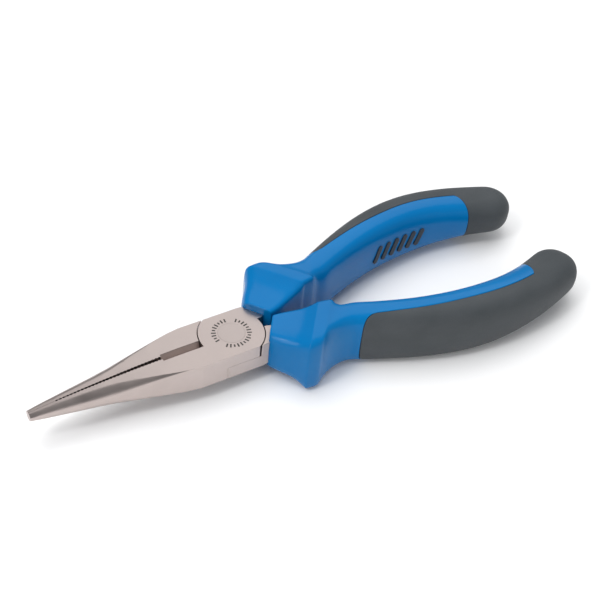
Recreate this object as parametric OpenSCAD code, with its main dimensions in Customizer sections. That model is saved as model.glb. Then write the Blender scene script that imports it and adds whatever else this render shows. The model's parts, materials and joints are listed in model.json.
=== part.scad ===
// Long-nose side-cutting pliers, 160 mm class, with two-tone moulded grips.
// The tool lies flat: tip towards -X, handles towards +X, rivet axis along Z.
// The origin is the bottom centre of the closed tool.
// Each half is one forging: jaw, half-thickness lap disc and tang.
// The second half is the first one turned half a turn about X.

/* [Head and joint] */
// Width of the head across both halves
head_w = 15.2; // [14.6:0.2:16]
// Thickness of the ground head
head_t = 7.9; // [7.5:0.1:8.3]
// Radius of the round lap disc
lap_r = 8.8; // [8.6:0.1:9.2]
// Radius of the rivet's shank
rivet_r = 2.8; // [2.4:0.1:3]
// Radius of the rivet's flush countersunk ends
rivet_head_r = 3.6; // [3.4:0.1:3.8]

/* [Jaws] */
// Distance from the tip to the rivet axis
jaw_l = 56.2; // [52:0.2:60]
// Width of the closed tip across both jaws
tip_w = 2.9; // [2.6:0.1:3.6]
// Thickness of the tip
tip_t = 2.5; // [2.2:0.1:3]
// Length of the side cutters
cutter_l = 11.4; // [9:0.2:12]
// Half width of the cutters' open groove at the surface
groove_w = 1.2; // [0.8:0.1:1.4]
// Depth of the cutters' open groove
groove_d = 2.4; // [1.8:0.1:2.8]
// Depth of the gripping teeth
tooth_d = 0.2; // [0.15:0.05:0.3]
// Number of gripping teeth on each jaw
tooth_n = 30; // [20:1:34]

/* [Handles] */
// Distance of the grip's middle line from the centre line at its widest
bow_y = 20.9; // [20:0.1:22]
// Distance from the rivet axis to the widest place along X
bow_x = 71; // [70:0.1:73]
// How strongly the grip's middle line bows
bow_a = 13.6; // [12.6:0.1:14.4]
// Width of the grip near its end
end_w = 14.6; // [14.2:0.2:16]
// Height of the finger guard, the tallest part of the tool
guard_h = 18.4; // [18:0.1:19]
// Height of the grip at its highest
grip_h = 17.6; // [17:0.1:17.8]
// Height of the grip near its end
end_h = 11.4; // [11:0.2:13.2]
// Wall of the soft outer panel
panel_t = 2; // [1.5:0.1:2.2]

/* [Hidden] */
$fn = 96;
half_w = head_w / 2;
half_t = head_t / 2;
// Play between the lap disc and the shoulders it turns in
lap_play = 0.3;
// Half of the play between the two lap discs
layer_play = 0.03;
// Radial play of the rivet in the half that turns on it
rivet_play = 0.05;
// Radial gap of the rivet in the half it is peened into
rivet_fit = 0.01;
// Half of the hairline left between the closed cutting edges and tips
nip = 0.03;
// How far a cut runs on past a face
over = 1;
// Depth of the rivet's countersink
sink_d = 0.9;
// Where the jaws start to narrow
taper_x = -12;
// Where the outer corners start to be broken
break_x = -15.6;
// Where the side cutters end, towards the tip
cutter_x = -lap_r - cutter_l;
// Length of the tip over which the closed jaws touch
touch_l = 7;
// Half of the gap between the jaws next to the cutters
gap_half = 0.42;
// Width and height of the broken outer corner at the tip, how far its plane runs on
// past the tip, and the reach of the block that cuts it
tip_break = 0.8;
break_past = 1.1;
break_reach = [0, 6, 6];
// How the thickness of the jaws falls off, and the steps of that curve
taper_pow = 1.7;
taper_steps = 6;
// Inner and outer edge of the tang's root between the lap and the collar,
// where its ground faces end just before the collar, and how much thinner it is from there on
root_in = [[0, 1.7], [9.5, 1.7], [22, 6.2]];
root_out = [[22, 11.4], [10, 7.1], [5.5, half_w], [0, half_w]];
ground_end = [[10.7, 2.1], [6.7, 7.45]];
root_step = 0.1;
// Where the thinner rod starts inside the root, and its edges there
rod_x = 18;
rod_y = [5.2, 9.6];
// Turn of the bow's cosine, degrees per mm
bow_k = 1.948;
// Where the bow takes over from the collar, where the panel starts and closes,
// and where the end starts to round off
bow_x0 = 31;
panel_x = 33;
cap_x = 88.5;
end_x = 96.5;
// Where the rod starts to follow the bow, and where it ends
rod_x0 = 27;
rod_x1 = 84;
rod_steps = 8;
// Width, height and split of the grip's sections along X
width_at = [[31, 9.3], [42, 10.6], [60, 12.8], [end_x, end_w]];
height_at = [[31, 17], [42, 17.2], [58, grip_h], [70, 17], [end_x, end_h]];
split_along = [[31, 3.8], [42, 2.8], [60, 0.5], [80, 0.1]];
// Squareness of the sections, half the points round one, and the collar's split
grip_n = 2.5;
half_pts = 12;
collar_split = 0.3;
// How the height of the rounded end falls off, and where its last section lies
end_pow = 0.6;
end_last = 0.97;
// Hairline between two mouldings, or between a moulding and the tang
seam = 0.05;
// The same hairline as a turn along the outline, degrees
seam_deg = 1.2;
// Width and thickness of the tang inside the grip
tang_w = 4.6;
tang_t = 6.4;
// Collar, flare, guard and neck: inner end, outer end, height, squareness
collar_ends = [[[12.3, 0.5], [6.9, 7.6], 11.9, 7],
               [[15.6, 1], [8.9, 10.6], 12.4, 6],
               [[20.2, 2.5], [11.8, 14.1], 14, 6],
               [[22.3, 3.1], [12.7, 16], 15.8, 6],
               [[24.2, 3.7], [13.5, 17.5], guard_h, 7],
               [[26.4, 4.4], [16.5, 17.7], guard_h, 7],
               [[28.5, 5.1], [21.8, 14.9], 17.5, 4]];
// Sections along the bow, and over the rounded end
bow_steps = 11;
cap_steps = 6;
// Far end of the handles
tip_end = end_x + end_w / 2;
// Puts the rivet so that the closed tool is centred on the origin
pivot = [(jaw_l - tip_end) / 2, 0, guard_h / 2];
// Row of slanted bars on the grip's inner face: number, middle, spacing, size,
// how far they stand proud and how deep they sit, and their slant in degrees
bar_n = 6;
bar_x = 62;
bar_step = 3.4;
bar_w = 1.6;
bar_h = 6;
bar_out = 0.3;
bar_in = 1;
bar_slant = 20;
// Flat left at the bars' round ends
bar_flat = 0.01;

steel = [0.78, 0.76, 0.74];
blue = [0, 0.44, 0.74];
grey = [0.33, 0.35, 0.37];

// ---- places ----

// Puts a child that is drawn about the rivet axis into the tool's frame
module at_pivot()
  translate(pivot)
    children();

// Turns a child of the upper half into the same child of the lower half
module other_half()
  rotate([180, 0, 0])
    children();

// ---- outlines ----

module round_box(w, h, r) {
  square([w - 2 * r, h], center = true);
  square([w, h - 2 * r], center = true);
  for (sx = [-1, 1])
    for (sy = [-1, 1])
      translate([sx * (w / 2 - r), sy * (h / 2 - r)])
        circle(r);
}

// Half thickness of the jaws at x: the taper steepens towards the tip
function jaw_z(x) =
  tip_t / 2 + (half_t - tip_t / 2) * (1 - pow((x - break_x) / (-jaw_l - break_x), taper_pow));

// Inner edge of the front jaw: a touching tip, then a slowly opening row of teeth
tooth_x0 = -jaw_l + touch_l;
tooth_pitch = (cutter_x - tooth_x0) / tooth_n;
function tooth_y(x) =
  -nip - (gap_half - nip) * (x - tooth_x0) / (cutter_x - tooth_x0);
teeth = [for (i = [0 : tooth_n - 1])
          for (k = [0, 0.5])
            let (x = tooth_x0 + (i + k) * tooth_pitch)
              [x, tooth_y(x) - (k > 0 ? tooth_d : 0)]];

module jaw_plan()
  polygon(concat(
    [[-jaw_l, -nip]],
    teeth,
    [[cutter_x, -gap_half],
     [cutter_x, -nip],
     [0, -nip],
     [0, -half_w],
     [taper_x, -half_w],
     [-jaw_l, -tip_w / 2]]));

module jaw_side()
  polygon(concat(
    [for (i = [0 : taper_steps])
      let (x = break_x + (-jaw_l - break_x) * i / taper_steps)
        [x, jaw_z(x)]],
    [for (i = [taper_steps : -1 : 0])
      let (x = break_x + (-jaw_l - break_x) * i / taper_steps)
        [x, -jaw_z(x)]],
    [[over, -half_t], [over, half_t]]));

module band()
  square([4 * lap_r, head_w], center = true);

// ---- steel half, drawn about the rivet axis, lap disc on top ----

// Breaks the outer corner of the jaw along a plane that runs from the head to the tip
module corner_break() {
  head = [break_x, -half_w, half_t];
  tip = [-jaw_l, (tip_break - tip_w) / 2, (tip_t - tip_break) / 2];
  past = head + break_past * (tip - head);
  along = break_reach;
  out = [0, -break_reach[1], break_reach[2]];
  polyhedron(
    points = [head - along, head + along, past + along, past - along,
              head - along + out, head + along + out, past + along + out, past - along + out],
    faces = [[0, 1, 2, 3], [7, 6, 5, 4], [4, 5, 1, 0], [5, 6, 2, 1], [6, 7, 3, 2], [7, 4, 0, 3]]);
}

module jaw() {
  difference() {
    intersection() {
      translate([0, 0, -half_t])
        linear_extrude(head_t)
          jaw_plan();
      rotate([90, 0, 0])
        linear_extrude(head_w)
          jaw_side();
    }
    corner_break();
    mirror([0, 0, 1])
      corner_break();
    for (s = [0, 1])
      mirror([0, 0, s])
        groove();
  }
}

// One bevel of the side cutter
module groove()
  translate([cutter_x, 0, 0])
    rotate([90, 0, 90])
      linear_extrude(-cutter_x)
        polygon([[-nip, half_t - groove_d],
                 [-groove_w, half_t],
                 [-groove_w, half_t + over],
                 [over, half_t + over],
                 [over, half_t - groove_d]]);

module tang(extra = 0) {
  translate([0, 0, -half_t])
    linear_extrude(head_t)
      polygon([root_in[0], root_in[1], ground_end[0], ground_end[1], root_out[2], root_out[3]]);
  translate([0, 0, -half_t + root_step - extra])
    linear_extrude(head_t - 2 * root_step + 2 * extra)
      polygon(concat(
        [for (p = root_in) [p[0], p[1] - extra]],
        [for (p = root_out) [p[0], p[1] + extra]]));
  translate([0, 0, -tang_t / 2 - extra])
    linear_extrude(tang_t + 2 * extra)
      polygon(concat(
        [[rod_x, rod_y[0] - extra]],
        [for (x = tang_stops) bow_point(x, -tang_w / 2 - extra)],
        [for (i = [len(tang_stops) - 1 : -1 : 0])
          bow_point(tang_stops[i] + extra, tang_w / 2 + extra)],
        [[rod_x, rod_y[1] + extra]]));
}

module half(bore_gap) {
  difference() {
    union() {
      jaw();
      tang();
      translate([0, 0, -half_t])
        linear_extrude(head_t)
          intersection() {
            circle(lap_r);
            band();
          }
    }
    translate([0, 0, -half_t - over])
      cylinder(r = lap_r + lap_play, h = half_t + over + layer_play);
    rivet_shape(bore_gap);
  }
}

module rivet_shape(gap) {
  cylinder(r = rivet_r + gap, h = head_t + 2 * over, center = true);
  for (s = [0, 1])
    mirror([0, 0, s])
      translate([0, 0, half_t - sink_d])
        cylinder(r1 = rivet_r + gap, r2 = rivet_head_r + gap, h = sink_d);
}

// ---- grip mouldings, drawn about the rivet axis ----

// Middle line of the bow, and its heading
function bow_mid(x) = bow_y - bow_a * (1 - cos(bow_k * (x - bow_x)));
function bow_dir(x) =
  atan(-bow_a * bow_k * PI / 180 * sin(bow_k * (x - bow_x)));

// Point of the tool's plane beside the middle line, u outwards
function bow_point(x, u) =
  [x - u * sin(bow_dir(x)), bow_mid(x) + u * cos(bow_dir(x))];

tang_stops = [for (i = [0 : rod_steps]) rod_x0 + (rod_x1 - rod_x0) * i / rod_steps];

function grip_width(x) = lookup(x, width_at);
function grip_height(x) = lookup(x, height_at);
function split_at(x) = lookup(x, split_along);

// A section is x, y, heading, width, height, squareness, split
function bow_section(x) =
  [x, bow_mid(x), bow_dir(x), grip_width(x), grip_height(x), grip_n, split_at(x)];

// Section of the rounded end, t running from 0 to 1
function end_section(t) =
  let (d = bow_dir(end_x), r = end_w / 2 * sin(90 * t), c = cos(90 * t))
    [end_x + r * cos(d), bow_mid(end_x) + r * sin(d), d,
     end_w * c, end_h * pow(c, end_pow), grip_n, 0];

// Section between two ends seen from above
function collar_section(inner, outer, height, squareness) =
  [(inner[0] + outer[0]) / 2, (inner[1] + outer[1]) / 2,
   atan2(inner[0] - outer[0], outer[1] - inner[1]), norm(outer - inner),
   height, squareness, collar_split];

front = [for (c = collar_ends) collar_section(c[0], c[1], c[2], c[3])];
stops = [for (i = [0 : bow_steps]) bow_x0 + (cap_x - bow_x0) * i / bow_steps];

// Point of a section's outline at angle a, moved in by an inset
function wave(v, n) = sign(v) * pow(abs(v), 2 / n);
function rim_point(s, a, inset) =
  let (u = (s[3] / 2 - inset) * wave(cos(a), s[5]),
       z = (s[4] / 2 - inset) * wave(sin(a), s[5]))
    [s[0] - u * sin(s[2]), s[1] + u * cos(s[2]), z];

// Angle at which a section's outline crosses the two-tone split
function split_deg(s) = acos(pow(s[6] / (s[3] / 2), s[5] / 2));

// Outline from angle a0 to a1
function run(s, a0, a1, inset) =
  [for (j = [0 : half_pts])
    rim_point(s, a0 + (a1 - a0) * j / half_pts, inset)];

// Hard moulding: full inner side, outer side moved in by the panel's wall
function hard_ring(s, inset) =
  let (a = split_deg(s))
    concat(run(s, a, 360 - a, 0), run(s, seam_deg - a, a - seam_deg, inset));

// Soft moulding: outer side, closed by its own inner wall or by the inner side
function soft_ring(s, closed) =
  let (a = split_deg(s) - seam_deg)
    concat(run(s, -a, a, 0),
           closed ? run(s, a + seam_deg, 360 - a - seam_deg, 0)
                  : run(s, a - seam_deg, seam_deg - a, panel_t - seam));

// Solid through a row of outlines with the same number of points
module skin(rings) {
  n = len(rings[0]);
  last = len(rings) - 1;
  polyhedron(
    points = [for (r = rings) for (p = r) p],
    faces = concat(
      [[for (j = [0 : n - 1]) j]],
      [for (i = [0 : last - 1]) for (j = [0 : n - 1])
        [i * n + j, (i + 1) * n + j, (i + 1) * n + (j + 1) % n]],
      [for (i = [0 : last - 1]) for (j = [0 : n - 1])
        [i * n + j, (i + 1) * n + (j + 1) % n, i * n + (j + 1) % n]],
      [[for (j = [n - 1 : -1 : 0]) last * n + j]]));
}

module grip_hard()
  difference() {
    skin(concat(
      [for (s = front) hard_ring(s, 0)],
      [hard_ring(bow_section(bow_x0), 0)],
      [hard_ring(bow_section(panel_x - seam), 0)],
      [hard_ring(bow_section(panel_x), panel_t)],
      [for (x = stops) if (x > panel_x) hard_ring(bow_section(x), panel_t)]));
    tang(seam);
    bars(bar_in + seam, bar_w + 2 * seam, bar_h + 2 * seam);
  }

module grip_soft()
  skin(concat(
    [soft_ring(bow_section(panel_x + seam), false)],
    [for (x = stops) if (x > panel_x + 1) soft_ring(bow_section(x), false)],
    [soft_ring(bow_section(cap_x + 2 * seam), true)],
    [for (i = [0 : cap_steps]) soft_ring(end_section(end_last * i / cap_steps), true)]));

// Slanted bars let into the grip's inner face
module bars(depth, w, h)
  for (i = [0 : bar_n - 1])
    let (x = bar_x + (i - (bar_n - 1) / 2) * bar_step,
         p = bow_point(x, -grip_width(x) / 2 - bar_out))
      translate([p[0], p[1], 0])
        rotate([0, 0, bow_dir(x) + 90])
          rotate([0, 90, 0])
            rotate([0, 0, bar_slant])
              linear_extrude(depth + bar_out)
                round_box(h, w, w / 2 - bar_flat);

// ---- nodes ----

module half_upper()
  color(steel)
    at_pivot()
      half(rivet_play);

module half_lower()
  color(steel)
    at_pivot()
      other_half()
        half(rivet_fit);

module rivet()
  color(steel)
    at_pivot()
      intersection() {
        rivet_shape(0);
        cube([head_w, head_w, head_t], center = true);
      }

module grip_back()
  color(blue)
    at_pivot()
      grip_hard();

module grip_front()
  color(blue)
    at_pivot()
      other_half()
        grip_hard();

module panel_back()
  color(grey)
    at_pivot()
      grip_soft();

module panel_front()
  color(grey)
    at_pivot()
      other_half()
        grip_soft();

module inlay_back()
  color(grey)
    at_pivot()
      bars(bar_in, bar_w, bar_h);

module inlay_front()
  color(grey)
    at_pivot()
      other_half()
        bars(bar_in, bar_w, bar_h);

half_upper();
half_lower();
rivet();
grip_back();
grip_front();
panel_back();
panel_front();
inlay_back();
inlay_front();
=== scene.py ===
# %% [markdown]
# # Long-nose pliers
# A hand tool has very few pieces, so each surface has to carry its share. This lesson
# builds two ground steel halves, a rivet, two hard grips and two soft panels around a
# fixed CAD frame. Start with the frame: every later piece takes its place from it.

# %% The fixed frame
import json
import math

import bmesh
import bpy
from mathutils import Matrix, Vector


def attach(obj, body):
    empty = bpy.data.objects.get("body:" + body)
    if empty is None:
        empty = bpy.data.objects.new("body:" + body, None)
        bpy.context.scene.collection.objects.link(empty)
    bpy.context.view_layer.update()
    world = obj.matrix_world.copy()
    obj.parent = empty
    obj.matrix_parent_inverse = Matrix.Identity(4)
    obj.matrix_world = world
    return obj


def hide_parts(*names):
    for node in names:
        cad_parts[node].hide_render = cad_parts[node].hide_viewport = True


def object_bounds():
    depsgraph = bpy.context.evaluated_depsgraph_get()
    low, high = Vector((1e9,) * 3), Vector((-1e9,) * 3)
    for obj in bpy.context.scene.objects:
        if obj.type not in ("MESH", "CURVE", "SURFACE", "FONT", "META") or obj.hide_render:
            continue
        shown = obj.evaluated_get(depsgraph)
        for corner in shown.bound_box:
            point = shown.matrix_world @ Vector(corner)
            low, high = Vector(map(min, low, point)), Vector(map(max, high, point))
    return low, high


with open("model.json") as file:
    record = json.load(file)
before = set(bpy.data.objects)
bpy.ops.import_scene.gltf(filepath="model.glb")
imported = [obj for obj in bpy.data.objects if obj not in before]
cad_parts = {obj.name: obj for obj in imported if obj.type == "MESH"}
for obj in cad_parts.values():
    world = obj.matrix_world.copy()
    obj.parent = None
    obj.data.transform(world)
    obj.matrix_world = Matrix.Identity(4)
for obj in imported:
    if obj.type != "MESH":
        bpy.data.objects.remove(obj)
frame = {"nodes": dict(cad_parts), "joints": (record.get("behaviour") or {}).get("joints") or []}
cad_low, cad_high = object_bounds()
MM = 0.001
PIVOT = Vector(frame["joints"][0]["pos_m"])
scene = bpy.context.scene
print("CAD box, mm:", [round(v / MM, 1) for v in (*cad_low, *cad_high)])

# %% [markdown]
# ## Working in the maker's own frame
# A pair of pliers is drawn about its rivet: the two halves are one forging, turned half
# a turn about the long axis. So every shape here is written once, in millimetres from the
# rivet's centre, and a helper turns it over for the lower half and puts it in the frame.

# %% From the rivet's frame to the scene
HALVES = {"upper": 1, "lower": -1}


def put(point, half):
    """A point in mm about the rivet, as a place in the scene, for one half of the tool."""
    turn = HALVES[half]
    return PIVOT + Vector((point[0], point[1] * turn, point[2] * turn)) * MM


def solid_from_rows(name, rows, half, front, back):
    """A closed skin through rows of points; front and back list the faces that close its ends."""
    bm = bmesh.new()
    grid = [[bm.verts.new(put(p, half)) for p in row] for row in rows]
    around = len(rows[0])
    for a, b in zip(grid, grid[1:]):
        for j in range(around):
            k = (j + 1) % around
            bm.faces.new((a[j], a[k], b[k], b[j]))
    for face in front:
        bm.faces.new([grid[0][j] for j in face])
    for face in back:
        bm.faces.new([grid[-1][j] for j in face])
    bmesh.ops.recalc_face_normals(bm, faces=bm.faces)
    for face in bm.faces:
        face.smooth = True
    mesh = bpy.data.meshes.new(name)
    bm.to_mesh(mesh)
    bm.free()
    piece = bpy.data.objects.new(name, mesh)
    scene.collection.objects.link(piece)
    print(name, "cage:", len(mesh.vertices), "points,", len(mesh.polygons), "faces")
    return piece


def smooth_out(piece, levels):
    """Leaves a live Subdivision Surface on a piece, the same in the viewport and the render."""
    stack = piece.modifiers.new("smooth", "SUBSURF")
    stack.levels = levels
    stack.render_levels = levels
    return stack


print("the rivet stands at", [round(v / MM, 2) for v in PIVOT])

# %% [markdown]
# ## The steel halves
# Each half is a drop forging whose faces are ground flat and whose outer jaw corner is
# rolled off by a belt, more and more towards the tip. The CAD half already has the right
# flats, lap and cutting edges. A copy of it is merged, its flat triangles are dissolved,
# a cutter with a growing radius rolls the corner off, and a Bevel breaks the sharp edges.

# %% Jaw outline used by the corner cutter
HALF_W = 7.6
HALF_T = 3.95
TIP_X = -56.2
TAPER_X = -12.0
BREAK_X = -15.6
TIP_W = 2.9
TIP_T = 2.5
TAPER_POWER = 1.7
# The rolled corner's radius: its growth per mm, its limit, and the most it may take of
# the jaw's half thickness and of its side
ROLL_GROWTH = 0.14
ROLL_LIMIT = 2.5
ROLL_OF_TOP = 0.86
ROLL_OF_SIDE = 0.8
ROLL_LEAST = 0.01


def jaw_side(x):
    """Distance of the jaw's outer side from the middle plane, mm."""
    share = max(0.0, (x - TAPER_X) / (TIP_X - TAPER_X))
    return HALF_W + (TIP_W / 2 - HALF_W) * share


def jaw_top(x):
    """Half thickness of the jaw, mm."""
    share = max(0.0, (x - BREAK_X) / (TIP_X - BREAK_X))
    return TIP_T / 2 + (HALF_T - TIP_T / 2) * (1 - share ** TAPER_POWER)


def corner_radius(x):
    """Radius that the belt leaves on the jaw's outer corner, mm."""
    grown = ROLL_GROWTH * (BREAK_X - x)
    most = min(ROLL_OF_TOP * jaw_top(x), ROLL_OF_SIDE * jaw_side(x), ROLL_LIMIT)
    return max(ROLL_LEAST, min(grown, most))


print("corner radius at the tip:", round(corner_radius(TIP_X), 2), "mm")

# %% [markdown]
# ## Rolling the corner off
# The corner's radius grows from nothing near the joint to its full size halfway along the
# jaw, which a Bevel can't do with one width. So the waste is drawn instead: a solid whose
# inner face is the finished corner, with an arc of its own radius at each step. A Boolean
# takes it away, as the belt does.

# %% Cutter that rolls the corner off
CUT_STEPS = 40
CUT_ARC = 10
CUT_REACH = 3.0
CUT_PAST = 1.0


def corner_cutter(name, half, up):
    """A solid whose inner face is the rolled corner; up is 1 for the top corner, -1 for the lower."""
    rows = []
    for i in range(CUT_STEPS + 1):
        x = BREAK_X + (TIP_X - CUT_PAST - BREAK_X) * i / CUT_STEPS
        r = corner_radius(x)
        side = jaw_side(x)
        top = jaw_top(x)
        row = []
        for k in range(CUT_ARC + 1):
            a = math.radians(90 * k / CUT_ARC)
            row.append((x, -side + r - r * math.sin(a), up * (top - r + r * math.cos(a))))
        row.append((x, -side - CUT_REACH, up * (top - r)))
        row.append((x, -side - CUT_REACH, up * (top + CUT_REACH)))
        row.append((x, -side + r, up * (top + CUT_REACH)))
        rows.append(row)
    whole = [range(len(rows[0]))]
    return solid_from_rows(name, rows, half, whole, whole)


# %% Tools for the forgings
WELD = 0.0005
FLAT_ANGLE = math.radians(0.2)


def merged_copy(node, name):
    """A welded copy of a CAD node, its flat faces dissolved to single polygons."""
    mesh = frame["nodes"][node].data.copy()
    mesh.name = name
    mesh.materials.clear()
    bm = bmesh.new()
    bm.from_mesh(mesh)
    bmesh.ops.remove_doubles(bm, verts=bm.verts, dist=WELD * MM)
    bmesh.ops.dissolve_limit(bm, angle_limit=FLAT_ANGLE, verts=bm.verts, edges=bm.edges)
    bm.to_mesh(mesh)
    bm.free()
    piece = bpy.data.objects.new(name, mesh)
    scene.collection.objects.link(piece)
    return piece


def cut_away(piece, cutters):
    """Applies a Boolean difference for each cutter, and removes the cutters."""
    for cutter in cutters:
        step = piece.modifiers.new("cut", "BOOLEAN")
        step.operation = "DIFFERENCE"
        step.solver = "EXACT"
        step.object = cutter
    view = bpy.context.evaluated_depsgraph_get()
    cut = bpy.data.meshes.new_from_object(piece.evaluated_get(view))
    piece.modifiers.clear()
    old = piece.data
    piece.data = cut
    cut.name = piece.name
    bpy.data.meshes.remove(old)
    for cutter in cutters:
        mesh = cutter.data
        bpy.data.objects.remove(cutter)
        bpy.data.meshes.remove(mesh)


# %% [markdown]
# ## The two halves
# The CAD forging is exact but its edges are knife sharp, and a sharp edge catches no
# light. A copy of it gets the rolled corners, then a live Bevel that breaks every edge by
# a tenth of a millimetre. Weighted Normal keeps the ground faces reading as flat.

# %% The two halves
EDGE_BREAK = 0.12
EDGE_STEPS = 2
SHARP_ANGLE = math.radians(28)
FLAT_WEIGHT = 100


def steel_half(half):
    """One forging, rolled, with its edges broken."""
    piece = merged_copy("half_" + half, "steel_" + half)
    cut_away(piece, [corner_cutter("belt_top", half, 1), corner_cutter("belt_under", half, -1)])
    for face in piece.data.polygons:
        face.use_smooth = True
    piece.data.set_sharp_from_angle(angle=SHARP_ANGLE)
    broken = piece.modifiers.new("edges", "BEVEL")
    broken.width = EDGE_BREAK * MM
    broken.segments = EDGE_STEPS
    broken.limit_method = "ANGLE"
    broken.angle_limit = SHARP_ANGLE
    broken.miter_outer = "MITER_ARC"
    weighted = piece.modifiers.new("flats", "WEIGHTED_NORMAL")
    weighted.keep_sharp = True
    weighted.weight = FLAT_WEIGHT
    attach(piece, half)
    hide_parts("half_" + half)
    print(piece.name, "faces:", len(piece.data.polygons))
    return piece


steel = {half: steel_half(half) for half in HALVES}

# %% [markdown]
# ## The outline of the grips
# The grip starts as a small square collar on the steel, flares like a trumpet into a
# finger guard, pinches to a neck and then bows outwards as a rounded bar. All of it is
# one row of sections, so a section is a centre, a heading, a width, a height and a
# squareness. The squareness is the power of a superellipse: 2 is an ellipse, 6 is a box
# with rounded corners.

# %% Sections along the handle
BOW_Y = 20.9
BOW_X = 71.0
BOW_A = 13.6
BOW_K = math.radians(1.948)
END_X = 96.5
END_W = 14.6
# How the height falls off round the handle's end
END_POWER = 0.7
# Share of a section's half width that a split may reach
SPLIT_LIMIT = 0.999
# Inner end, outer end, height, squareness of the outer and of the inner side
COLLAR_ENDS = [
    ((12.1, 0.4), (7.3, 7.0), 11.9, 5, 10),
    ((12.3, 0.35), (7.2, 7.4), 12.4, 5, 10),
    ((13.6, 0.6), (7.5, 8.5), 12.7, 4.8, 10),
    ((15.6, 1.0), (8.4, 10.1), 13.1, 4.6, 10),
    ((18.0, 1.8), (9.8, 12.0), 13.8, 4.6, 10),
    ((20.2, 2.5), (11.2, 13.8), 14.7, 4.8, 10),
    ((22.0, 3.0), (12.1, 15.5), 15.9, 5.2, 11),
    ((23.4, 3.3), (12.7, 16.8), 17.3, 5.6, 12),
    ((24.1, 3.6), (13.1, 17.4), 18.2, 6, 14),
    ((24.3, 3.75), (13.3, 17.6), 18.4, 6.2, 14),
    ((27.4, 4.3), (16.6, 17.9), 18.4, 6.2, 14),
    ((27.9, 4.5), (17.5, 17.4), 18.2, 5.4, 12),
    ((28.5, 4.9), (19.3, 16.2), 17.8, 4.4, 6),
    ((29.2, 5.3), (22.0, 15.0), 17.5, 3.8, 4.2),
    ((30.4, 5.7), (25.7, 14.3), 17.3, 3.2, 3.3),
]


def section_between(inner, outer, height, squareness, inner_squareness):
    """A section given by its two ends, seen from above."""
    x = (inner[0] + outer[0]) / 2
    y = (inner[1] + outer[1]) / 2
    heading = math.degrees(math.atan2(inner[0] - outer[0], outer[1] - inner[1]))
    return (x, y, heading, math.dist(inner, outer), height, squareness, inner_squareness)


COLLAR = [section_between(*ends) for ends in COLLAR_ENDS]
# Along the bar, as (x, value): width, height, squareness, and how far outside the middle
# line the blue meets the grey
WIDTHS = [(31, 9.3), (42, 10.6), (60, 12.8), (END_X, END_W)]
HEIGHTS = [(31, 17.1), (42, 17.3), (58, 17.5), (70, 17), (END_X, 11.4)]
SQUARENESS = [(31, 3.3), (42, 3.1), (70, 3.0), (END_X, 2.6)]
SPLITS = [(31, 2.4), (42, 1.3), (60, 0.1), (80, 0)]


def lookup(x, table):
    """Straight-line value of a table at x."""
    if x <= table[0][0]:
        return table[0][1]
    for (x0, v0), (x1, v1) in zip(table, table[1:]):
        if x <= x1:
            return v0 + (v1 - v0) * (x - x0) / (x1 - x0)
    return table[-1][1]


def eased(x, table, reach=6.0):
    """The table's value averaged over a short stretch, so that its corners are rounded."""
    places = (-1, -0.5, 0, 0.5, 1)
    return sum(lookup(x + reach * k, table) for k in places) / len(places)


def bow_section(x):
    """Section of the bowed bar at x."""
    swing = BOW_K * (x - BOW_X)
    heading = math.degrees(math.atan(-BOW_A * BOW_K * math.sin(swing)))
    middle = BOW_Y - BOW_A * (1 - math.cos(swing))
    square = eased(x, SQUARENESS)
    return (x, middle, heading, eased(x, WIDTHS), eased(x, HEIGHTS), square, square)


def end_section(t):
    """Section of the rounded end, t from 0 to 1."""
    x, y, heading, width, height, square, square = bow_section(END_X)
    run = END_W / 2 * math.sin(math.pi / 2 * t)
    fall = math.cos(math.pi / 2 * t)
    a = math.radians(heading)
    return (x + run * math.cos(a), y + run * math.sin(a), heading,
            width * fall, height * fall ** END_POWER, square, square)


def wave(v, n):
    """A sine or cosine raised to the superellipse's power, with its sign kept."""
    return math.copysign(abs(v) ** (2 / n), v)


def on_section(section, degrees, inset):
    """Point of a section's outline at an angle, moved in by an inset."""
    x, y, heading, width, height, outer_n, inner_n = section
    a = math.radians(degrees)
    n = outer_n if math.cos(a) > 0 else inner_n
    u = (width / 2 - inset) * wave(math.cos(a), n)
    z = (height / 2 - inset) * wave(math.sin(a), n)
    h = math.radians(heading)
    return (x - u * math.sin(h), y + u * math.cos(h), z)


def angle_of(section, u):
    """Angle at which a section's outline is u away from its middle line, outwards."""
    share = max(-SPLIT_LIMIT, min(SPLIT_LIMIT, u / (section[3] / 2)))
    n = section[5] if share > 0 else section[6]
    return math.degrees(math.acos(math.copysign(abs(share) ** (n / 2), share)))


print("the handle ends at", round(end_section(1)[0], 1), "mm from the rivet")

# %% [markdown]
# ## Where hard and soft meet
# The hard grip is moulded first, with a bed along its outer side. The soft panel is
# moulded into that bed, and wraps right round the handle's end. The two meet flush at a
# line that starts with a rounded corner near the neck and ends with one near the tip of
# the handle. Both cages use the same columns, so the two edges always run side by side.
# Loops close to each edge keep it crisp under the Subdivision Surface.

# %% Columns round the handle
# Where the panel starts and where it closes round the handle, and the size and shape of
# the rounded corners there
FRONT_X = 33.0
FRONT_R = 3.6
CAP_X = 88.5
CAP_R = 2.8
ROUND_POWER = 2.4
# Half of the seam's width, the distance of the loop that keeps it crisp, the depth of its
# wall's first loop, the depth of the bed, and the least distance between two loops
GAP = 0.05
SUPPORT = 0.4
LIP = 0.3
BED = 1.3
FILM = 0.02
# Places of the columns, from 0 at the middle of a side towards 1 at its edge
OUTER_T = [0.12, 0.36, 0.58, 0.75, 0.87, 0.95, 0.985]
INNER_T = [0.15, 0.3, 0.45, 0.58, 0.69, 0.79, 0.87, 0.935, 0.975]
PANEL_T = [-t for t in reversed(OUTER_T)] + OUTER_T
REST_T = [-t for t in reversed(INNER_T)] + [0] + INNER_T


def rounding(t):
    """0 along a boundary's straight middle, rising to 1 at its ends."""
    return 1 - (1 - min(1.0, abs(t)) ** ROUND_POWER) ** (1 / ROUND_POWER)


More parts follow.
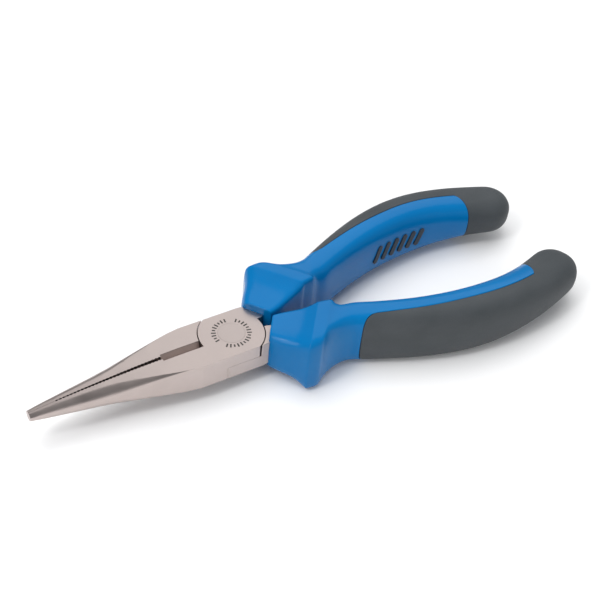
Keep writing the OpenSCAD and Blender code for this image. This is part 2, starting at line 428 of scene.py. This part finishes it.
def front_x(t):
    """Where the panel starts on an outer column."""
    return FRONT_X + FRONT_R * rounding(t)


def cap_x(t):
    """Where the grey closes over an inner column."""
    return CAP_X - CAP_R * rounding(t)


def panel_angle(section, split, t):
    """Angle of a column of the outer side, t from -1 to 1."""
    return t * angle_of(section, split)


def rest_angle(section, split, t):
    """Angle of a column of the inner side, t from -1 at the top edge to 1 at the lower one."""
    edge = angle_of(section, split)
    return 180 + t * (180 - edge)


print("columns:", len(PANEL_T), "outer,", len(REST_T), "inner")

# %% [markdown]
# ## The hard grip
# One cage makes the collar, the guard and the blue side of the bar. Its rows are the
# sections above, and its columns sink into the bed where the panel will lie. Two narrow
# walls, at the start of the bed and along it, give the seam its depth.

# %% Cage of the hard grip
# Each column is its kind, its place from -1 to 1, its shift across the seam and its depth
HARD_COLUMNS = (
    [("edge", 1, -GAP, 0)]
    + [("rest", t, 0, 0) for t in REST_T]
    + [("edge", -1, -GAP, 0)]
    + [("edge", -1, -GAP + FILM, LIP), ("edge", -1, -GAP + 2 * FILM, BED)]
    + [("panel", t, 0, BED) for t in PANEL_T]
    + [("edge", 1, -GAP + 2 * FILM, BED), ("edge", 1, -GAP + FILM, LIP)]
)
COLLAR_LAST = 31.0
COLLAR_SPLIT = 0.3
COLLAR_FACE = (1.2, 0.35)
CAP_DEPTH = 1.6
BAR_ROWS = 14


def column_angle(section, column, split):
    """Angle at which a column of the hard grip crosses a section."""
    kind, t, offset, inset = column
    if kind == "edge":
        return t * angle_of(section, split + offset)
    if kind == "rest":
        return rest_angle(section, split - GAP, t)
    return panel_angle(section, split, t)


def column_front(column):
    """Where the bed starts on a column."""
    return front_x(column[1]) if column[0] == "panel" else front_x(1)


def column_cap(column):
    """Where the blue ends on a column."""
    return cap_x(column[1]) if column[0] == "rest" else cap_x(1)


def hard_point(section, column, inset, split):
    """Point where a column crosses a section, sunk by an inset."""
    return on_section(section, column_angle(section, column, split), inset)


def hard_rows():
    """Rows of the hard grip, from the collar's face to the end of the blue."""
    rows = []
    for inset in COLLAR_FACE:
        rows.append([hard_point(COLLAR[0], c, inset, COLLAR_SPLIT) for c in HARD_COLUMNS])
    for section in COLLAR:
        rows.append([hard_point(section, c, 0, COLLAR_SPLIT) for c in HARD_COLUMNS])
    for share in (0, 0.5, 1):
        row = []
        for c in HARD_COLUMNS:
            x = COLLAR_LAST + share * (column_front(c) - SUPPORT - COLLAR_LAST)
            section = bow_section(x)
            row.append(hard_point(section, c, 0, lookup(x, SPLITS)))
        rows.append(row)
    for step, depth in enumerate((0, LIP, BED)):
        row = []
        for c in HARD_COLUMNS:
            sunk = min(c[3], depth)
            x = column_front(c) - GAP + FILM * step * (c[3] == 0)
            section = bow_section(x)
            row.append(hard_point(section, c, sunk, lookup(x, SPLITS)))
        rows.append(row)
    for i in range(1, BAR_ROWS + 1):
        row = []
        for c in HARD_COLUMNS:
            start = column_front(c)
            x = start + (column_cap(c) - SUPPORT - start) * i / BAR_ROWS
            section = bow_section(x)
            row.append(hard_point(section, c, c[3], lookup(x, SPLITS)))
        rows.append(row)
    for inset in (0, LIP, CAP_DEPTH):
        row = []
        for c in HARD_COLUMNS:
            x = column_cap(c) - GAP
            section = bow_section(x)
            row.append(hard_point(section, c, max(inset, c[3]), lookup(x, SPLITS)))
        rows.append(row)
    return rows


def hard_grip(half, place):
    """The blue moulding of one handle."""
    rows = hard_rows()
    whole = [range(len(rows[0]))]
    piece = solid_from_rows("hard_grip_" + place, rows, half, whole, whole)
    smooth_out(piece, 2)
    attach(piece, half)
    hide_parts("grip_" + place)
    return piece


PLACES = {"upper": "back", "lower": "front"}
hard = {half: hard_grip(half, place) for half, place in PLACES.items()}

# %% [markdown]
# ## The soft panel
# The panel is a strip in the bed up to the cap, and a closed skin from there to the end
# of the handle. Both have the same number of points in a row: on the strip they go out
# along the face and back along the underside, and on the skin they go right round. So one
# row can follow the other without a single extra face.

# %% Cage of the soft panel
# Each column is its kind, its place from -1 to 1 and its shift across the seam
SOFT_OUTER = (
    [("edge", 1, GAP)]
    + [("panel", t, 0) for t in reversed(PANEL_T)]
    + [("edge", -1, GAP)]
)
CAP_SHARES = (0.3, 0.65, 1)
END_ROWS = (0.14, 0.3, 0.46, 0.6, 0.73, 0.84, 0.92, 0.975)


def soft_angle(section, column, split):
    """Angle at which a column of the soft panel crosses a section."""
    kind, t, offset = column
    if kind == "edge":
        return t * angle_of(section, split + offset)
    return panel_angle(section, split + GAP, t)


def soft_outer_row(shift, inset, share):
    """Outer side of a row; share runs from 0 at the panel's front to 1 at the cap."""
    row = []
    for c in SOFT_OUTER:
        start = front_x(c[1]) if c[0] == "panel" else front_x(1)
        stop = cap_x(1)
        x = start + shift + (stop - start) * share
        section = bow_section(x)
        row.append(on_section(section, soft_angle(section, c, lookup(x, SPLITS)), inset))
    return row


def soft_inner_row(shift, share):
    """Inner wall of a row, from the lower edge back to the top one."""
    return list(reversed(soft_outer_row(shift, BED - GAP, share)))


def soft_walls(shift, share):
    """The two points half way down the panel's side walls: lower edge, top edge."""
    x = front_x(1) + shift + (cap_x(1) - front_x(1)) * share
    section = bow_section(x)
    edge = angle_of(section, lookup(x, SPLITS) + GAP)
    return [on_section(section, -edge, LIP)], [on_section(section, edge, LIP)]


def inner_turns():
    """Columns of the inner side once the soft skin goes right round, lower edge first."""
    count = len(SOFT_OUTER)
    return [1 - 2 * (k + 1) / (count + 1) for k in range(count)]


def soft_round_row(place, inset_inner):
    """A row that goes right round; place gives the section for an inner column's t, or None."""
    row = []
    for c in SOFT_OUTER:
        section, split = place(1)
        row.append(on_section(section, soft_angle(section, c, split), 0))
    for side in (-1, 1):
        if side == 1:
            for t in inner_turns():
                section, split = place(t)
                row.append(on_section(section, rest_angle(section, split, t), inset_inner))
        section, split = place(1)
        row.append(on_section(section, side * angle_of(section, split + GAP / 2), inset_inner))
    return row


def at_cap(shift):
    """Sections just behind the cap's seam, which bends from column to column."""
    def place(t):
        x = cap_x(t) + GAP + shift
        return bow_section(x), lookup(x, SPLITS)
    return place


def between_cap_and_end(share):
    """Sections that straighten out between the cap's seam and the rounded end."""
    def place(t):
        start = cap_x(t) + GAP + SUPPORT
        x = start + (END_X - start) * share
        return bow_section(x), lookup(x, SPLITS)
    return place


def at_end(t_end):
    """A section of the rounded end, the same for every column."""
    def place(t):
        return end_section(t_end), lookup(END_X, SPLITS)
    return place


SOFT_ROWS = 14


def soft_rows():
    """Rows of the soft panel, from its front edge to the end of the handle."""
    rows = []
    for shift, inset, share in ([(GAP, LIP, 0), (GAP, 0, 0), (GAP + SUPPORT, 0, 0)]
                                + [(GAP, 0, i / SOFT_ROWS) for i in range(1, SOFT_ROWS + 1)]):
        low, high = soft_walls(shift, share)
        rows.append(soft_outer_row(shift, inset, share) + low + soft_inner_row(shift, share) + high)
    rows.append(soft_round_row(at_cap(0), LIP))
    rows.append(soft_round_row(at_cap(FILM), 0))
    rows.append(soft_round_row(at_cap(SUPPORT), 0))
    for share in CAP_SHARES:
        rows.append(soft_round_row(between_cap_and_end(share), 0))
    for t in END_ROWS:
        rows.append(soft_round_row(at_end(t), 0))
    return rows


def soft_panel(half, place):
    """The grey moulding of one handle; its front edge is closed by a band of quads."""
    rows = soft_rows()
    count = len(SOFT_OUTER)
    total = len(rows[0])
    front = [(j, j + 1, total - 3 - j, total - 2 - j) for j in range(count - 1)]
    front.append((count - 1, count, count + 1))
    front.append((total - 1, 0, total - 2))
    piece = solid_from_rows("soft_panel_" + place, rows, half, front, [range(total)])
    smooth_out(piece, 2)
    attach(piece, half)
    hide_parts("panel_" + place)
    return piece


soft = {half: soft_panel(half, place) for half, place in PLACES.items()}

# %% [markdown]
# ## A ring of marks round the rivet
# The head carries a ring of printed marks. Here it is a plain ring of strokes: one small
# plate is drawn for each stroke, a hair thicker than the paint it stands for.

# %% Ring of strokes
MARK_R = 4.74
MARK_LONG = 1.25
MARK_SHORT = 0.85
MARK_W = 0.42
MARK_PROUD = 0.015
MARK_SUNK = 0.05
MARK_GAPS = (5, 6, 17, 18)
MARK_COUNT = 30


def mark_ring():
    """All strokes as one piece, so that they turn with the upper half."""
    bm = bmesh.new()
    for i in range(MARK_COUNT):
        if i in MARK_GAPS:
            continue
        a = 2 * math.pi * i / MARK_COUNT
        length = MARK_LONG if i % 3 else MARK_SHORT
        corners = []
        for z in (HALF_T - MARK_SUNK, HALF_T + MARK_PROUD):
            for dr, dw in ((-1, -1), (1, -1), (1, 1), (-1, 1)):
                r = MARK_R + dr * length / 2
                w = dw * MARK_W / 2
                corners.append(bm.verts.new(put((r * math.cos(a) - w * math.sin(a),
                                                 r * math.sin(a) + w * math.cos(a), z), "upper")))
        low, high = corners[:4], corners[4:]
        bm.faces.new(reversed(low))
        bm.faces.new(high)
        for j in range(4):
            k = (j + 1) % 4
            bm.faces.new((low[j], low[k], high[k], high[j]))
    mesh = bpy.data.meshes.new("mark_ring")
    bm.to_mesh(mesh)
    bm.free()
    piece = bpy.data.objects.new("mark_ring", mesh)
    scene.collection.objects.link(piece)
    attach(piece, "upper")
    print("mark_ring:", len(mesh.polygons) // 6, "strokes")
    return piece


marks = mark_ring()

# %% [markdown]
# ## Finishes
# No part of a real tool is one flat colour. Ground steel has fine lines and a slightly
# uneven sheen, moulded plastic has faint flow marks, and rubber has a fine stipple. All
# three need the same thing, a mask of uneven grain at a stated size, so that mask is a
# node group, and each material sets its own size and stretch.

# %% Node group: grain of a given size
def grain_group():
    """Object coordinates, stretched, through noise, then spread about its middle value."""
    tree = bpy.data.node_groups.new("grain", "ShaderNodeTree")
    side = tree.interface
    side.new_socket("Size", in_out="INPUT", socket_type="NodeSocketFloat")
    side.new_socket("Stretch", in_out="INPUT", socket_type="NodeSocketVector")
    side.new_socket("Contrast", in_out="INPUT", socket_type="NodeSocketFloat")
    side.new_socket("Mask", in_out="OUTPUT", socket_type="NodeSocketFloat")
    nodes, links = tree.nodes, tree.links
    inside = nodes.new("NodeGroupInput")
    outside = nodes.new("NodeGroupOutput")
    where = nodes.new("ShaderNodeTexCoord")
    squeeze = nodes.new("ShaderNodeVectorMath")
    squeeze.operation = "MULTIPLY"
    per_metre = nodes.new("ShaderNodeMath")
    per_metre.operation = "DIVIDE"
    per_metre.inputs[0].default_value = 1.0
    noise = nodes.new("ShaderNodeTexNoise")
    noise.inputs["Detail"].default_value = 3.0
    centred = nodes.new("ShaderNodeMath")
    centred.operation = "SUBTRACT"
    centred.inputs[1].default_value = 0.5
    spread = nodes.new("ShaderNodeMath")
    spread.operation = "MULTIPLY_ADD"
    spread.inputs[2].default_value = 0.5
    spread.use_clamp = True
    links.new(where.outputs["Object"], squeeze.inputs[0])
    links.new(inside.outputs["Stretch"], squeeze.inputs[1])
    links.new(inside.outputs["Size"], per_metre.inputs[1])
    links.new(squeeze.outputs["Vector"], noise.inputs["Vector"])
    links.new(per_metre.outputs["Value"], noise.inputs["Scale"])
    links.new(noise.outputs["Fac"], centred.inputs[0])
    links.new(centred.outputs["Value"], spread.inputs[0])
    links.new(inside.outputs["Contrast"], spread.inputs[1])
    links.new(spread.outputs["Value"], outside.inputs["Mask"])
    return tree


GRAIN = grain_group()
print("grain group inputs:", [s.name for s in GRAIN.interface.items_tree if s.in_out == "INPUT"])

# %% [markdown]
# ## A short way to write a finish
# Every finish here is one Principled shader fed by a few masks. The class keeps the
# shader in the material and turns each mask into a colour, a roughness or a normal, so
# that a finish reads as a list of what varies on the real surface.

# %% Finish

class Finish:
    """A material with a Principled shader, and short ways to feed its sockets."""

    def __init__(self, name, metallic=0.0, specular=0.5):
        self.material = bpy.data.materials.new(name)
        self.material.use_nodes = True
        self.nodes = self.material.node_tree.nodes
        self.links = self.material.node_tree.links
        self.shader = self.nodes["Principled BSDF"]
        self.shader.inputs["Metallic"].default_value = metallic
        self.shader.inputs["Specular IOR Level"].default_value = specular

    def grain(self, size_mm, stretch=(1, 1, 1), contrast=2.0):
        node = self.nodes.new("ShaderNodeGroup")
        node.node_tree = GRAIN
        node.inputs["Size"].default_value = size_mm * MM
        node.inputs["Stretch"].default_value = stretch
        node.inputs["Contrast"].default_value = contrast
        return node.outputs["Mask"]

    def colour(self, mask, low, high):
        ramp = self.nodes.new("ShaderNodeMix")
        ramp.data_type = "RGBA"
        ramp.inputs["A"].default_value = (*low, 1)
        ramp.inputs["B"].default_value = (*high, 1)
        self.links.new(mask, ramp.inputs["Factor"])
        return ramp.outputs["Result"]

    def between(self, mask, low, high):
        ramp = self.nodes.new("ShaderNodeMapRange")
        ramp.inputs["To Min"].default_value = low
        ramp.inputs["To Max"].default_value = high
        self.links.new(mask, ramp.inputs["Value"])
        return ramp.outputs["Result"]

    def bump(self, mask, height_mm, under=None):
        node = self.nodes.new("ShaderNodeBump")
        node.inputs["Distance"].default_value = height_mm * MM
        self.links.new(mask, node.inputs["Height"])
        if under is not None:
            self.links.new(under, node.inputs["Normal"])
        return node.outputs["Normal"]

    def feed(self, **sockets):
        names = {"colour": "Base Color", "roughness": "Roughness", "normal": "Normal"}
        for key, source in sockets.items():
            self.links.new(source, self.shader.inputs[names[key]])
        return self.material


# %% [markdown]
# ## Ground steel
# The flats come off a belt, so the lines run across the tool and are far finer than a
# tenth of a millimetre. They show as a soft, uneven sheen and not as scratches. The long
# axis is squeezed and the cross axis stretched, which turns round grain into lines.

# %% Steel, rivet and printed marks
def ground_steel_finish(name, light, dark):
    steel_look = Finish(name, metallic=1.0)
    lines = steel_look.grain(0.12, (1, 0.06, 0.06), 2.4)
    clouds = steel_look.grain(5.0, (1, 1, 1), 2.5)
    scuffs = steel_look.grain(0.9, (0.3, 1, 1), 3.5)
    roughness = steel_look.between(clouds, 0.3, 0.4)
    normal = steel_look.bump(scuffs, 0.002, steel_look.bump(lines, 0.0012))
    return steel_look.feed(colour=steel_look.colour(clouds, dark, light),
                           roughness=roughness, normal=normal)


ground_steel = ground_steel_finish("ground_steel", (0.55, 0.475, 0.45), (0.495, 0.425, 0.4))
rivet_steel = ground_steel_finish("rivet_steel", (0.53, 0.46, 0.435), (0.475, 0.41, 0.39))
for piece in steel.values():
    piece.data.materials.append(ground_steel)

ink_look = Finish("mark_ink", specular=0.3)
ink_patches = ink_look.grain(0.25, contrast=3.0)
mark_ink = ink_look.feed(colour=ink_look.colour(ink_patches, (0.03, 0.027, 0.025), (0.075, 0.068, 0.062)),
                         roughness=ink_look.between(ink_patches, 0.45, 0.6))
marks.data.materials.append(mark_ink)
print("finishes:", [m.name for m in (ground_steel, rivet_steel, mark_ink)])

# %% [markdown]
# ## Hard plastic and soft rubber
# The hard grip is glossy but not a mirror: a wide, faint waviness breaks its highlights,
# and a fine grain varies its sheen. The soft panel is duller, with a stipple that the
# mould's spark-eroded wall leaves, and the faint pale bloom that rubber picks up.

# %% Grip finishes
blue_look = Finish("hard_blue", specular=0.2)
blue_flow = blue_look.grain(14.0, (0.5, 1, 1), 2.0)
blue_fine = blue_look.grain(0.35, contrast=2.2)
blue_wave = blue_look.grain(3.0, (0.7, 1, 1), 1.5)
hard_blue = blue_look.feed(
    colour=blue_look.colour(blue_flow, (0.0, 0.138, 0.375), (0.0, 0.16, 0.42)),
    roughness=blue_look.between(blue_fine, 0.15, 0.22),
    normal=blue_look.bump(blue_fine, 0.006, blue_look.bump(blue_wave, 0.02)))

grey_look = Finish("soft_grey", specular=0.3)
grey_bloom = grey_look.grain(8.0, (0.6, 1, 1), 2.2)
grey_stipple = grey_look.grain(0.28, contrast=3.0)
soft_grey = grey_look.feed(
    colour=grey_look.colour(grey_bloom, (0.05, 0.057, 0.062), (0.065, 0.072, 0.078)),
    roughness=grey_look.between(grey_stipple, 0.5, 0.66),
    normal=grey_look.bump(grey_stipple, 0.02))

bar_look = Finish("bar_dark", specular=0.3)
bar_grain = bar_look.grain(0.3, contrast=3.0)
bar_dark = bar_look.feed(
    colour=bar_look.colour(bar_grain, (0.022, 0.03, 0.042), (0.034, 0.043, 0.056)),
    roughness=bar_look.between(bar_grain, 0.45, 0.6))

for piece in hard.values():
    piece.data.materials.append(hard_blue)
for piece in soft.values():
    piece.data.materials.append(soft_grey)


def repaint(node, material):
    """Gives a CAD node that stays in view a finish of its own."""
    mesh = frame["nodes"][node].data
    mesh.materials.clear()
    mesh.materials.append(material)


repaint("rivet", rivet_steel)
repaint("inlay_back", bar_dark)
repaint("inlay_front", bar_dark)
print("finishes:", [m.name for m in (hard_blue, soft_grey, bar_dark)])

# %% [markdown]
# ## Floor and camera
# A plain pale floor at the tool's lowest point gives the steel something light to mirror
# in its sides. The camera stands low on the tip's side and looks down at about 43
# degrees, rolled a little, with a lens long enough to keep both handles in proportion.

# %% Floor and camera
FLOOR_Z = cad_low.z
FLOOR_SIZE = 3.0
bm = bmesh.new()
bmesh.ops.create_grid(bm, x_segments=2, y_segments=2, size=FLOOR_SIZE)
floor_mesh = bpy.data.meshes.new("floor")
bm.to_mesh(floor_mesh)
bm.free()
for v in floor_mesh.vertices:
    v.co.z = FLOOR_Z
floor = bpy.data.objects.new("floor", floor_mesh)
scene.collection.objects.link(floor)
floor_look = Finish("pale_floor", specular=0.2)
floor_tone = floor_look.grain(60.0)
floor_mesh.materials.append(floor_look.feed(
    colour=floor_look.colour(floor_tone, (0.875, 0.875, 0.88), (0.89, 0.89, 0.89)),
    roughness=floor_look.between(floor_tone, 0.6, 0.7)))

AZIMUTH = -34.9
ELEVATION = 43.3
ROLL = 6.16
DISTANCE = 320.0
AIM = (-18.25, -11.43)
FOCAL = 3.79 * DISTANCE
SENSOR = 36.0
FRAME_WIDTH = 600.0

a, e, r = (math.radians(v) for v in (AZIMUTH, ELEVATION, ROLL))
forward = Vector((-math.sin(a) * math.cos(e), math.cos(a) * math.cos(e), -math.sin(e)))
level = Vector((math.cos(a), math.sin(a), 0))
upright = level.cross(forward)
right = level * math.cos(r) + upright * math.sin(r)
up = upright * math.cos(r) - level * math.sin(r)
camera_data = bpy.data.cameras.new("camera")
camera = bpy.data.objects.new("camera", camera_data)
scene.collection.objects.link(camera)
camera_data.sensor_width = SENSOR
camera_data.lens = SENSOR * FOCAL / FRAME_WIDTH
eye = PIVOT + (right * -AIM[0] + up * -AIM[1] + forward * -DISTANCE) * MM
turn = Matrix((right, up, -forward)).transposed().to_4x4()
camera.matrix_world = Matrix.Translation(eye) @ turn
camera_data.clip_start = 0.01
camera_data.clip_end = 20
scene.camera = camera


print("camera lens, mm:", round(camera_data.lens, 1))

# %% [markdown]
# ## Soft light
# A flat steel top mirrors one direction only, so one wide panel stands exactly there, at
# the back. The rolled corner of the jaws mirrors everything between that panel and the
# floor. The two lights in that arc fill the shadows but are kept out of reflections,
# which leaves the corner dark and its shape easy to read.

# %% Light
def soft_box(name, place, aim, size, power, colour=(1, 1, 1)):
    data = bpy.data.lights.new(name, "AREA")
    data.shape = "RECTANGLE"
    data.size, data.size_y = size
    data.energy = power
    data.color = colour
    light = bpy.data.objects.new(name, data)
    scene.collection.objects.link(light)
    light.location = Vector(place)
    light.rotation_mode = "QUATERNION"
    light.rotation_quaternion = (Vector(aim) - Vector(place)).to_track_quat("-Z", "Y")
    return light


soft_box("back_top", (0.42, 0.52, 0.75), (0, 0, 0), (1.0, 0.8), 2.6)
overhead = soft_box("overhead", (-0.2, 0.15, 1.1), (0, 0, 0), (1.2, 0.9), 10)
overhead.visible_glossy = False
soft_box("left_side", (-1.0, -0.1, 0.5), (0, 0, 0), (0.6, 0.5), 3)
soft_box("ridge_strip", (-0.75, -0.1, 0.95), (0, 0, 0), (0.14, 0.3), 2.4)
front_right = soft_box("front_right", (0.5, -0.9, 0.45), (0, 0, 0), (0.6, 0.4), 3)
front_right.visible_glossy = False

world = bpy.data.worlds.new("studio")
scene.world = world
world.use_nodes = True
world.node_tree.nodes["Background"].inputs["Color"].default_value = (0.95, 0.97, 1, 1)
world.node_tree.nodes["Background"].inputs["Strength"].default_value = 0.28
scene.view_settings.view_transform = "Standard"
scene.view_settings.look = "None"
